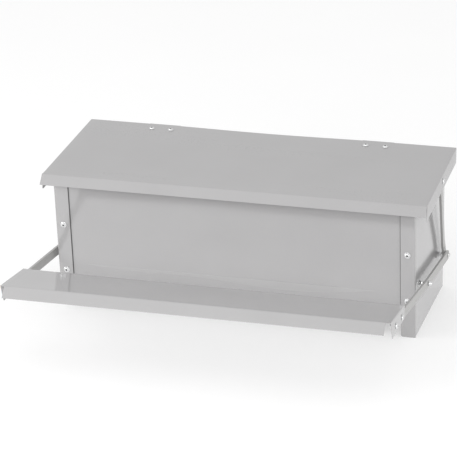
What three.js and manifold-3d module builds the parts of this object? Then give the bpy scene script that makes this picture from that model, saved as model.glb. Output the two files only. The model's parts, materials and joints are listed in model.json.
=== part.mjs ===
// Treadle feeder for poultry: a sheet-steel feed bin with a hinged lid.  A step plate on two
// pivoting arms stands in front of the bin, and two push links join the arms to the lid, so
// that a bird standing on the plate lifts the lid.
//
// Millimetres, +X to the right, +Y to the back, +Z up.  Lengthwise places below are measured
// from the front foot of the bin, and the finished group is then centred on the origin.

import * as THREE from "three";
import { mergeVertices } from "three/addons/utils/BufferGeometryUtils.js";
import Module from "manifold-3d";

const wasm = await Module();
wasm.setup();

// ---------------------------------------------------------------- driving dimensions

const SHEET = 1.2;
const GAP = 0.3;
const FOLD_RADIUS = 2;

// Bin: end plates with turned-in flanges, held apart by a front panel, a rear panel and a floor.
const END_X = 400;
const FOOT_DEPTH = 323;
const FRONT_LEAN = -0.123;
const REAR_LEAN = -0.048;
const FLANGE_WIDTH = 31.7;
const REAR_FLANGE_WIDTH = 25;
const FOOT_FLANGE_WIDTH = 22;
const FOOT_CORNER_RADIUS = 5;
const PANEL_BOTTOM_Z = 30;
const PANEL_RETURN = 14;
const FLOOR_Z = 50;
const FLOOR_UPSTAND_TOP_Z = 104;

// Lid: a sloping sheet with a front lip and deep side flanges.
const LID_HALF_WIDTH = 425;
const LID_FRONT = new THREE.Vector2(-39.3, 314.7);
const LID_REAR_Y = 306;
const LID_SLOPE = 0.062;
const LID_LIP = new THREE.Vector2(-16.1, -19.6);
const LID_FLANGE_DEPTH = 35.5;
const LID_CLEARANCE = 1;

// Lid hinges: two butt hinges on the top rear edge.
const HINGE_X = 248;
const HINGE_LENGTH = 72;
const HINGE_LEAF = 2;
const HINGE_BARREL_RADIUS = 4;
const HINGE_PIN_RADIUS = 2;
const HINGE_KNUCKLE = 36;
const HINGE_BOLT_SPREAD = 22.2;
const HINGE_LID_BOLT_Y = 276;
const HINGE_BOX_BOLT_Z = 303;
const HINGE_AXIS = new THREE.Vector2(310.4, 331);

// Step plate (treadle): top, front lip, rear hem and two side flanges.
const STEP_HALF_WIDTH = 414.5;
const STEP_REAR = new THREE.Vector2(-205.9, 156.9);
const STEP_FRONT = new THREE.Vector2(-347.8, 171.2);
const STEP_LIP = new THREE.Vector2(-18.8, -20.3);
const STEP_LIP_HALF_WIDTH = 404;
const STEP_HEM = 10;
const STEP_FLANGE_TIP = new THREE.Vector2(-327, 129);
const STEP_FLANGE_REAR = new THREE.Vector2(-204.5, 126.5);

// Flat bars: arms and links.
const BAR_WIDTH = 20;
const BAR_THICKNESS = 5;
const ARM_SLOPE = -0.09;
const PIVOT = new THREE.Vector2(35, 115);
const ARM_STEP_BOLT_YS = [-294, -232];
const ARM_PIN_Y = 277;
const ARM_FRONT_INNER_X = 408;
const ARM_REAR_INNER_X = 413.5;
const ARM_SET_START_Y = -215;
const ARM_SET_END_Y = 15;
const LINK_TOP_PIN = new THREE.Vector2(145, 311);
const LINK_LOWER_INNER_X = 407;
const LINK_UPPER_INNER_X = 415;
const LINK_SET_MARGIN = 45;
const LINK_SPARE_HOLE = 24;

// Fasteners: M6 bolts with flanged domed heads, hexagon nuts, spacers and washers.
const SHANK_RADIUS = 3;
const HOLE_RADIUS = 3.3;
const HEAD_FLANGE_RADIUS = 6.8;
const HEAD_FLANGE_HEIGHT = 0.9;
const HEAD_DOME_RADIUS = 5.2;
const HEAD_HEIGHT = 3.6;
const NUT_RADIUS = 5.8;
const NUT_HEIGHT = 5;
const LOCK_NUT_HEIGHT = 7;
const THREAD_END = 1;
const SPACER_RADIUS = 6;
const WASHER_HEIGHT = 1.6;
const FRONT_BOLT_INSET = 17;
const FRONT_BOLT_ZS = [86.5, 196];
const REAR_BOLT_INSET = 13;
const REAR_BOLT_ZS = [88, 270];
const ROUND_SEGMENTS = 12;
const ARC_SEGMENTS = 6;

// ---------------------------------------------------------------- derived places

const INNER_X = END_X - SHEET;
const frontY = (z) => FRONT_LEAN * z;
const rearY = (z) => FOOT_DEPTH + REAR_LEAN * z;
const lidZ = (y) => LID_FRONT.y + LID_SLOPE * (y - LID_FRONT.x);
const binTopZ = (y) => lidZ(y) - SHEET - LID_CLEARANCE;
const armZ = (y) => PIVOT.y + ARM_SLOPE * (y - PIVOT.x);
const ARM_PIN = new THREE.Vector2(ARM_PIN_Y, armZ(ARM_PIN_Y));
const PANEL_OFFSET = SHEET + GAP;
const boxLeafY = (z) => rearY(z) - PANEL_OFFSET + GAP;
const CENTRE_Y = (STEP_FRONT.x + STEP_LIP.x + FOOT_DEPTH) / 2;

const AXIS_X = new THREE.Vector3(1, 0, 0);
const AXIS_Y = new THREE.Vector3(0, 1, 0);
const AXIS_Z = new THREE.Vector3(0, 0, 1);
const FRONT_NORMAL = new THREE.Vector3(0, -1, FRONT_LEAN).normalize();
const REAR_NORMAL = new THREE.Vector3(0, 1, -REAR_LEAN).normalize();
const LID_NORMAL = new THREE.Vector3(0, -LID_SLOPE, 1).normalize();

// ---------------------------------------------------------------- looks

const sheetMaterial = () =>
  new THREE.MeshStandardMaterial({ color: 0xc2c1c2, roughness: 0.42, metalness: 0.25 });
const barMaterial = () =>
  new THREE.MeshStandardMaterial({ color: 0xb9b8b4, roughness: 0.45, metalness: 0.35 });
const zincMaterial = () =>
  new THREE.MeshStandardMaterial({ color: 0xc8cacc, roughness: 0.28, metalness: 0.9 });

const feeder = new THREE.Group();
feeder.position.y = -CENTRE_Y;

function addPiece(name, solid, material) {
  const mesh = new THREE.Mesh(geometryOf(solid), material);
  mesh.name = name;
  feeder.add(mesh);
  return mesh;
}

// ---------------------------------------------------------------- solids from geometries

function solidOf(geometry) {
  const plain = geometry.clone();
  plain.deleteAttribute("normal");
  plain.deleteAttribute("uv");
  const merged = mergeVertices(plain, 1e-3);
  const index = merged.index.array;
  const triangles = [];
  for (let i = 0; i < index.length; i += 3) {
    const [a, b, c] = index.slice(i, i + 3);
    if (a !== b && b !== c && c !== a) {
      triangles.push(a, b, c);
    }
  }
  return new wasm.Manifold(
    new wasm.Mesh({
      numProp: 3,
      vertProperties: merged.attributes.position.array,
      triVerts: new Uint32Array(triangles),
    }),
  );
}

function geometryOf(solid) {
  const mesh = solid.getMesh();
  const geometry = new THREE.BufferGeometry();
  geometry.setAttribute("position", new THREE.BufferAttribute(mesh.vertProperties, 3));
  geometry.setIndex(new THREE.BufferAttribute(mesh.triVerts, 1));
  geometry.computeVertexNormals();
  return geometry;
}

function joined(solids) {
  return solids.reduce((whole, solid) => whole.add(solid));
}

// Extrudes an outline drawn in (Y, Z) between two X planes, given in either order.
const SIDE_VIEW = new THREE.Matrix4().makeBasis(AXIS_Y, AXIS_Z, AXIS_X);

function alongX(outline, xA, xB) {
  const depth = Math.abs(xB - xA);
  const geometry = new THREE.ExtrudeGeometry(outline, {
    depth,
    bevelEnabled: false,
    curveSegments: ARC_SEGMENTS,
  });
  geometry.applyMatrix4(SIDE_VIEW);
  geometry.translate(Math.min(xA, xB), 0, 0);
  return solidOf(geometry);
}

// A round bar centred on a point.
function roundBar(centre, direction, radius, length) {
  const geometry = new THREE.CylinderGeometry(radius, radius, length, ROUND_SEGMENTS);
  geometry.applyQuaternion(new THREE.Quaternion().setFromUnitVectors(AXIS_Y, direction));
  geometry.translate(centre.x, centre.y, centre.z);
  return solidOf(geometry);
}

function drilled(solid, centres, direction, radius = HOLE_RADIUS, length = 30) {
  const tools = centres.map((centre) => roundBar(centre, direction, radius, length));
  return tools.reduce((rest, tool) => rest.subtract(tool), solid);
}

const inSide = (x, point) => new THREE.Vector3(x, point.x, point.y);

// ---------------------------------------------------------------- outlines

// A closed outline with every corner rounded.
function roundedOutline(points, radius) {
  const shape = new THREE.Shape();
  points.forEach((corner, i) => {
    const before = points[(i + points.length - 1) % points.length];
    const after = points[(i + 1) % points.length];
    const start = corner.clone().add(before.clone().sub(corner).setLength(radius));
    const end = corner.clone().add(after.clone().sub(corner).setLength(radius));
    if (i === 0) {
      shape.moveTo(start.x, start.y);
    } else {
      shape.lineTo(start.x, start.y);
    }
    shape.quadraticCurveTo(corner.x, corner.y, end.x, end.y);
  });
  shape.closePath();
  return shape;
}

// An open line with its inner corners rounded.
function roundedLine(points, radius) {
  const line = new THREE.Path();
  line.moveTo(points[0].x, points[0].y);
  for (let i = 1; i < points.length - 1; i += 1) {
    const corner = points[i];
    const start = corner.clone().add(points[i - 1].clone().sub(corner).setLength(radius));
    const end = corner.clone().add(points[i + 1].clone().sub(corner).setLength(radius));
    line.lineTo(start.x, start.y);
    line.quadraticCurveTo(corner.x, corner.y, end.x, end.y);
  }
  const last = points[points.length - 1];
  line.lineTo(last.x, last.y);
  return line.getPoints(4);
}

// A folded strip: the line is one face of the sheet, which lies to the left of its direction.
function stripOutline(points, thickness, radius = FOLD_RADIUS) {
  const face = roundedLine(points, radius);
  const offset = face.map((point, i) => {
    const into = i > 0 ? point.clone().sub(face[i - 1]).normalize() : null;
    const out = i < face.length - 1 ? face[i + 1].clone().sub(point).normalize() : null;
    const along = (into ?? out).clone().add(out ?? into).normalize();
    const reach = into ? thickness / along.dot(into) : thickness;
    return new THREE.Vector2(point.x - along.y * reach, point.y + along.x * reach);
  });
  return new THREE.Shape([...face, ...offset.reverse()]);
}

// A bar's side view: a straight strip with round ends, from (0, 0) to (length, 0).
function stadium(length, width) {
  const radius = width / 2;
  const shape = new THREE.Shape();
  shape.absarc(length, 0, radius, -Math.PI / 2, Math.PI / 2, false);
  shape.absarc(0, 0, radius, Math.PI / 2, (3 * Math.PI) / 2, false);
  return shape;
}

// ---------------------------------------------------------------- sheet-metal pieces of the bin

const vec = (y, z) => new THREE.Vector2(y, z);

function endPlate(side) {
  const face = new THREE.Shape([
    vec(frontY(0), 0),
    vec(rearY(0), 0),
    vec(rearY(binTopZ(rearY(330))), binTopZ(rearY(330))),
    vec(frontY(binTopZ(frontY(312))), binTopZ(frontY(312))),
  ]);
  const frontTop = binTopZ(frontY(312)) - GAP;
  const rearTop = binTopZ(rearY(330)) - 8;
  const frontFlange = new THREE.Shape([
    vec(frontY(0), 0),
    vec(frontY(0) + SHEET, 0),
    vec(frontY(frontTop) + SHEET, frontTop),
    vec(frontY(frontTop), frontTop),
  ]);
  const rearFlange = new THREE.Shape([
    vec(rearY(0) - SHEET, 0),
    vec(rearY(0), 0),
    vec(rearY(rearTop), rearTop),
    vec(rearY(rearTop) - SHEET, rearTop),
  ]);
  const footFlange = new THREE.Shape([
    vec(frontY(0), 0),
    vec(rearY(0), 0),
    vec(rearY(SHEET), SHEET),
    vec(frontY(SHEET), SHEET),
  ]);
  const plate = joined([
    alongX(face, side * END_X, side * INNER_X),
    alongX(frontFlange, side * END_X, side * (END_X - FLANGE_WIDTH)),
    alongX(rearFlange, side * END_X, side * (END_X - REAR_FLANGE_WIDTH)),
    alongX(footFlange, side * END_X, side * (END_X - FOOT_FLANGE_WIDTH)),
  ]);
  const cornered = plate.subtract(footCornerTool(side));
  return drilled(boredForPanels(cornered), [inSide(side * END_X, PIVOT)], AXIS_X);
}

// Cuts the inner bottom corner of the front flange to a round.
function footCornerTool(side) {
  const r = FOOT_CORNER_RADIUS;
  const outline = new THREE.Shape();
  outline.moveTo(-1, -1);
  outline.lineTo(r, -1);
  outline.lineTo(r, 0);
  outline.absarc(r, r, r, -Math.PI / 2, -Math.PI, true);
  outline.lineTo(-1, r);
  const geometry = new THREE.ExtrudeGeometry(outline, {
    depth: 8,
    bevelEnabled: false,
    curveSegments: ARC_SEGMENTS,
  });
  geometry.rotateX(Math.PI / 2);
  if (side > 0) {
    geometry.translate(END_X - FLANGE_WIDTH, 4, 0);
  } else {
    geometry.rotateZ(Math.PI);
    geometry.translate(FLANGE_WIDTH - END_X, -4, 0);
  }
  return solidOf(geometry);
}

const PANEL_HALF = INNER_X - GAP;

function frontPanel() {
  const topZ = binTopZ(frontY(312)) - 1;
  const faceY = (z) => frontY(z) + PANEL_OFFSET;
  const line = [
    vec(faceY(PANEL_BOTTOM_Z) + PANEL_RETURN, PANEL_BOTTOM_Z),
    vec(faceY(PANEL_BOTTOM_Z), PANEL_BOTTOM_Z),
    vec(faceY(topZ), topZ),
    vec(faceY(topZ) + PANEL_RETURN, topZ),
  ];
  const panel = alongX(stripOutline(line.reverse(), SHEET), -PANEL_HALF, PANEL_HALF);
  return boredForPanels(panel);
}

function rearPanel() {
  const topZ = HINGE_AXIS.y - 3;
  const faceY = (z) => rearY(z) - PANEL_OFFSET;
  const line = [
    vec(faceY(PANEL_BOTTOM_Z) - PANEL_RETURN, PANEL_BOTTOM_Z),
    vec(faceY(PANEL_BOTTOM_Z), PANEL_BOTTOM_Z),
    vec(faceY(topZ), topZ),
    vec(faceY(topZ) - PANEL_RETURN, topZ),
  ];
  const panel = alongX(stripOutline(line, SHEET), -PANEL_HALF, PANEL_HALF);
  const holeY = boxLeafY(HINGE_BOX_BOLT_Z);
  const hingeHoles = hingeXs().flatMap((x) => boltsOfHinge(x, holeY, HINGE_BOX_BOLT_Z));
  return drilled(boredForPanels(panel), hingeHoles, REAR_NORMAL);
}

// The floor is a tray whose front and rear upstands are held by the lower panel bolts.
function floorPanel() {
  const half = PANEL_HALF - GAP;
  const frontFace = (z) => frontY(z) + 2 * PANEL_OFFSET;
  const rearFace = (z) => rearY(z) - 2 * PANEL_OFFSET;
  const line = [
    vec(frontFace(FLOOR_UPSTAND_TOP_Z), FLOOR_UPSTAND_TOP_Z),
    vec(frontFace(FLOOR_Z), FLOOR_Z),
    vec(rearFace(FLOOR_Z), FLOOR_Z),
    vec(rearFace(FLOOR_UPSTAND_TOP_Z), FLOOR_UPSTAND_TOP_Z),
  ];
  return boredForPanels(alongX(stripOutline(line, SHEET), -half, half));
}

// The panel bolts of one end, as points on the outer face of the end plates' flanges.
function panelBoltPlaces(side, inset, heights, faceY) {
  return heights.map((z) => new THREE.Vector3(side * (END_X - inset), faceY(z), z));
}

// Bores every panel bolt's hole, square to the leaning faces, through whatever sheet is there.
function boredForPanels(solid) {
  const places = (...layout) => [-1, 1].flatMap((side) => panelBoltPlaces(side, ...layout));
  const frontBored = drilled(solid, places(FRONT_BOLT_INSET, FRONT_BOLT_ZS, frontY), FRONT_NORMAL);
  return drilled(frontBored, places(REAR_BOLT_INSET, REAR_BOLT_ZS, rearY), REAR_NORMAL);
}

// ---------------------------------------------------------------- lid and step plate

function lid() {
  const rear = vec(LID_REAR_Y, lidZ(LID_REAR_Y));
  const lipEnd = LID_FRONT.clone().add(LID_LIP);
  const sheet = alongX(stripOutline([rear, LID_FRONT, lipEnd], SHEET), -LID_HALF_WIDTH, LID_HALF_WIDTH);
  const flangeFrontY = LID_FRONT.x + FOLD_RADIUS + 1;
  const flangeTop = SHEET / 2;
  const flange = roundedOutline(
    [
      vec(flangeFrontY, lidZ(flangeFrontY) - flangeTop),
      vec(flangeFrontY - 3, lidZ(flangeFrontY) - LID_FLANGE_DEPTH),
      vec(LID_REAR_Y, lidZ(LID_REAR_Y) - LID_FLANGE_DEPTH),
      vec(LID_REAR_Y, lidZ(LID_REAR_Y) - flangeTop),
    ],
    0.4,
  );
  const innerX = LID_HALF_WIDTH - SHEET;
  const sides = [-1, 1].map((side) => alongX(flange, side * LID_HALF_WIDTH, side * innerX));
  const linkHoles = [-1, 1].map((side) => inSide(side * LID_HALF_WIDTH, LINK_TOP_PIN));
  const hingeHoles = hingeXs().flatMap((x) => boltsOfHinge(x, HINGE_LID_BOLT_Y, lidZ(HINGE_LID_BOLT_Y)));
  const linkBored = drilled(joined([sheet, ...sides]), linkHoles, AXIS_X, HOLE_RADIUS, 10);
  return drilled(linkBored, hingeHoles, LID_NORMAL, HOLE_RADIUS, 10);
}

function stepPlate() {
  const hemEnd = vec(STEP_REAR.x, STEP_REAR.y - STEP_HEM);
  const lipEnd = STEP_FRONT.clone().add(STEP_LIP);
  const topEnd = STEP_FRONT.clone().lerp(STEP_REAR, 0.015);
  const lipped = stripOutline([hemEnd, STEP_REAR, STEP_FRONT, lipEnd], SHEET);
  const top = stripOutline([STEP_REAR, topEnd], SHEET);
  const flange = roundedOutline(
    [
      vec(topEnd.x, topEnd.y - SHEET / 2),
      STEP_FLANGE_TIP,
      STEP_FLANGE_REAR,
      vec(STEP_REAR.x, STEP_REAR.y - SHEET / 2),
    ],
    0.4,
  );
  const innerX = STEP_HALF_WIDTH - SHEET;
  const sides = [-1, 1].map((side) => alongX(flange, side * STEP_HALF_WIDTH, side * innerX));
  const folded = joined([
    alongX(lipped, -STEP_LIP_HALF_WIDTH, STEP_LIP_HALF_WIDTH),
    alongX(top, -STEP_HALF_WIDTH, STEP_HALF_WIDTH),
    ...sides,
  ]);
  const holes = [-1, 1].flatMap((side) =>
    ARM_STEP_BOLT_YS.map((y) => new THREE.Vector3(side * STEP_HALF_WIDTH, y, armZ(y))),
  );
  return drilled(folded, holes, AXIS_X, HOLE_RADIUS, 10);
}

// ---------------------------------------------------------------- flat bars

// A flat bar between two points of the side view, set sideways between two distances from start.
function setBar(side, start, end, innerXs, setFrom, setTo) {
  const run = end.clone().sub(start);
  const length = run.length();
  const [x0, x1] = innerXs;
  const end0 = -BAR_WIDTH;
  const end1 = length + BAR_WIDTH;
  const inner = [vec(end0, x0), vec(setFrom, x0), vec(setTo, x1), vec(end1, x1)];
  const outer = inner.map((point) => vec(point.x, point.y + BAR_THICKNESS)).reverse();
  const plan = new THREE.Shape([...inner, ...outer].map((point) => vec(point.x, side * point.y)));
  const strip = new THREE.ExtrudeGeometry(plan, { depth: 2 * BAR_WIDTH, bevelEnabled: false });
  strip.applyMatrix4(new THREE.Matrix4().makeBasis(AXIS_Y, AXIS_X, AXIS_Z.clone().negate()));
  strip.translate(0, 0, BAR_WIDTH);
  const farX = END_X + 40;
  const sideView = new THREE.ExtrudeGeometry(stadium(length, BAR_WIDTH), {
    depth: farX,
    bevelEnabled: false,
    curveSegments: 10,
  });
  sideView.applyMatrix4(SIDE_VIEW);
  sideView.translate(side > 0 ? 0 : -farX, 0, 0);
  for (const geometry of [strip, sideView]) {
    geometry.rotateX(run.angle());
    geometry.translate(0, start.x, start.y);
  }
  return solidOf(strip).intersect(solidOf(sideView));
}

function arm(side) {
  const start = vec(ARM_STEP_BOLT_YS[0] - 2, armZ(ARM_STEP_BOLT_YS[0] - 2));
  const setFrom = ARM_SET_START_Y - start.x;
  const setTo = ARM_SET_END_Y - start.x;
  const bar = setBar(side, start, ARM_PIN, [ARM_FRONT_INNER_X, ARM_REAR_INNER_X], setFrom, setTo);
  const holeYs = [...ARM_STEP_BOLT_YS, PIVOT.x, ARM_PIN_Y];
  const holes = holeYs.map((y) => new THREE.Vector3(side * END_X, y, armZ(y)));
  return drilled(bar, holes, AXIS_X, HOLE_RADIUS, 60);
}

const LINK_RUN = LINK_TOP_PIN.clone().sub(ARM_PIN);

function link(side) {
  const setFrom = LINK_SET_MARGIN;
  const setTo = LINK_RUN.length() - LINK_SET_MARGIN;
  const bar = setBar(side, ARM_PIN, LINK_TOP_PIN, [LINK_LOWER_INNER_X, LINK_UPPER_INNER_X], setFrom, setTo);
  const spare = ARM_PIN.clone().add(LINK_RUN.clone().setLength(LINK_SPARE_HOLE));
  const holes = [ARM_PIN, spare, LINK_TOP_PIN].map((point) => inSide(side * END_X, point));
  return drilled(bar, holes, AXIS_X, HOLE_RADIUS, 60);
}

// ---------------------------------------------------------------- hinges

const hingeXs = () => [-HINGE_X, HINGE_X];

function barrel(xA, xB) {
  return roundBar(inSide((xA + xB) / 2, HINGE_AXIS), AXIS_X, HINGE_BARREL_RADIUS, xB - xA);
}

// The lid leaf lies under the lid and carries the two outer knuckles.
function lidLeaf(x) {
  const under = (y) => lidZ(y) - SHEET - GAP;
  const outline = new THREE.Shape([
    vec(HINGE_LID_BOLT_Y - 12, under(HINGE_LID_BOLT_Y - 12)),
    vec(HINGE_LID_BOLT_Y - 12, under(HINGE_LID_BOLT_Y - 12) - HINGE_LEAF),
    vec(HINGE_AXIS.x, HINGE_AXIS.y + HINGE_BARREL_RADIUS - HINGE_LEAF),
    vec(HINGE_AXIS.x, HINGE_AXIS.y + HINGE_BARREL_RADIUS),
    vec(LID_REAR_Y, under(LID_REAR_Y)),
  ]);
  const half = HINGE_LENGTH / 2;
  const leaf = joined([alongX(outline, x - half, x + half), barrel(x - half, x + half)]);
  const notch = new THREE.Shape([
    vec(HINGE_AXIS.x - HINGE_BARREL_RADIUS - 0.6, HINGE_AXIS.y - 10),
    vec(HINGE_AXIS.x + 10, HINGE_AXIS.y - 10),
    vec(HINGE_AXIS.x + 10, HINGE_AXIS.y + 10),
    vec(HINGE_AXIS.x - HINGE_BARREL_RADIUS - 0.6, HINGE_AXIS.y + 10),
  ]);
  const cleared = leaf.subtract(alongX(notch, x - HINGE_KNUCKLE / 2, x + HINGE_KNUCKLE / 2));
  return hingeBored(cleared, x, boltsOfHinge(x, HINGE_LID_BOLT_Y, under(HINGE_LID_BOLT_Y)), LID_NORMAL);
}

// The box leaf lies on the rear panel and carries the middle knuckle.
function boxLeaf(x) {
  const faceY = boxLeafY;
  const half = HINGE_LENGTH / 2;
  const lowZ = HINGE_BOX_BOLT_Z - 12;
  const shoulderZ = HINGE_AXIS.y - HINGE_BARREL_RADIUS - 1;
  const plate = new THREE.Shape([
    vec(faceY(lowZ), lowZ),
    vec(faceY(lowZ) + HINGE_LEAF, lowZ),
    vec(faceY(shoulderZ) + HINGE_LEAF, shoulderZ),
    vec(faceY(shoulderZ), shoulderZ),
  ]);
  const neck = new THREE.Shape([
    vec(faceY(shoulderZ), shoulderZ - 1),
    vec(faceY(shoulderZ) + HINGE_LEAF, shoulderZ - 1),
    vec(faceY(shoulderZ) + HINGE_LEAF, HINGE_AXIS.y),
    vec(faceY(shoulderZ), HINGE_AXIS.y),
  ]);
  const reach = HINGE_KNUCKLE / 2 - GAP;
  const leaf = joined([
    alongX(plate, x - half, x + half),
    alongX(neck, x - reach, x + reach),
    barrel(x - reach, x + reach),
  ]);
  return hingeBored(leaf, x, boltsOfHinge(x, faceY(HINGE_BOX_BOLT_Z), HINGE_BOX_BOLT_Z), REAR_NORMAL);
}

function boltsOfHinge(x, y, z) {
  return [-1, 1].map((hand) => new THREE.Vector3(x + hand * HINGE_BOLT_SPREAD, y, z));
}

function hingeBored(leaf, x, boltHoles, boltDirection) {
  const pinHole = drilled(leaf, [inSide(x, HINGE_AXIS)], AXIS_X, HINGE_PIN_RADIUS + GAP, HINGE_LENGTH + 10);
  return drilled(pinHole, boltHoles, boltDirection, HOLE_RADIUS, 10);
}

function hingePin() {
  const half = HINGE_LENGTH / 2;
  return turned([
    [0, -half - 1.5],
    [HINGE_PIN_RADIUS, -half - 1.5],
    [HINGE_PIN_RADIUS, half + GAP],
    [HINGE_PIN_RADIUS + 1.2, half + GAP],
    [HINGE_PIN_RADIUS + 1.2, half + 1.5],
    [0, half + 2],
  ]);
}

// ---------------------------------------------------------------- fasteners

// A turned piece about its own Y axis, from a profile of [radius, height] points.
function turned(profile) {
  const points = profile.map(([radius, height]) => new THREE.Vector2(radius, height));
  return solidOf(new THREE.LatheGeometry(points, ROUND_SEGMENTS));
}

// A domed bolt: the flanged head sits above height 0 and the shank reaches down to -length.
function bolt(length) {
  return turned([
    [0, -length],
    [SHANK_RADIUS - 0.5, -length],
    [SHANK_RADIUS, -length + 0.5],
    [SHANK_RADIUS, 0],
    [HEAD_FLANGE_RADIUS, 0],
    [HEAD_FLANGE_RADIUS, HEAD_FLANGE_HEIGHT],
    [HEAD_DOME_RADIUS, HEAD_FLANGE_HEIGHT],
    [HEAD_DOME_RADIUS * 0.9, HEAD_HEIGHT * 0.66],
    [HEAD_DOME_RADIUS * 0.6, HEAD_HEIGHT * 0.94],
    [0, HEAD_HEIGHT],
  ]);
}

// A hexagon nut with its top face at the given height.
function nutBody(top, height = NUT_HEIGHT) {
  const hexagon = new THREE.CylinderGeometry(NUT_RADIUS, NUT_RADIUS, height, 6);
  hexagon.translate(0, top - height / 2, 0);
  return solidOf(hexagon);
}

// A bolt and its nut, drawn up over a grip: together they are one fastener.
function fastener(grip) {
  const nutTop = -grip - GAP;
  return bolt(grip + GAP + NUT_HEIGHT + THREAD_END).add(nutBody(nutTop));
}

function looseNut(top = 0, height = NUT_HEIGHT) {
  return drilled(nutBody(top, height), [new THREE.Vector3()], AXIS_Y, SHANK_RADIUS + 0.05);
}

// A washer or spacer, standing on height 0.
function ring(height) {
  const disc = turned([
    [0, 0],
    [SPACER_RADIUS, 0],
    [SPACER_RADIUS, height],
    [0, height],
  ]);
  return drilled(disc, [new THREE.Vector3()], AXIS_Y);
}

// Places a piece made about its own Y axis: height 0 at the point, upwards along direction.
function addTurned(name, solid, point, direction) {
  const mesh = addPiece(name, solid, zincMaterial());
  mesh.quaternion.setFromUnitVectors(AXIS_Y, direction);
  mesh.position.copy(point);
}

// ---------------------------------------------------------------- assembly

addPiece("front_panel", frontPanel(), sheetMaterial());
addPiece("rear_panel", rearPanel(), sheetMaterial());
addPiece("floor_panel", floorPanel(), sheetMaterial());
addPiece("lid", lid(), sheetMaterial());
addPiece("step_plate", stepPlate(), sheetMaterial());

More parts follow.
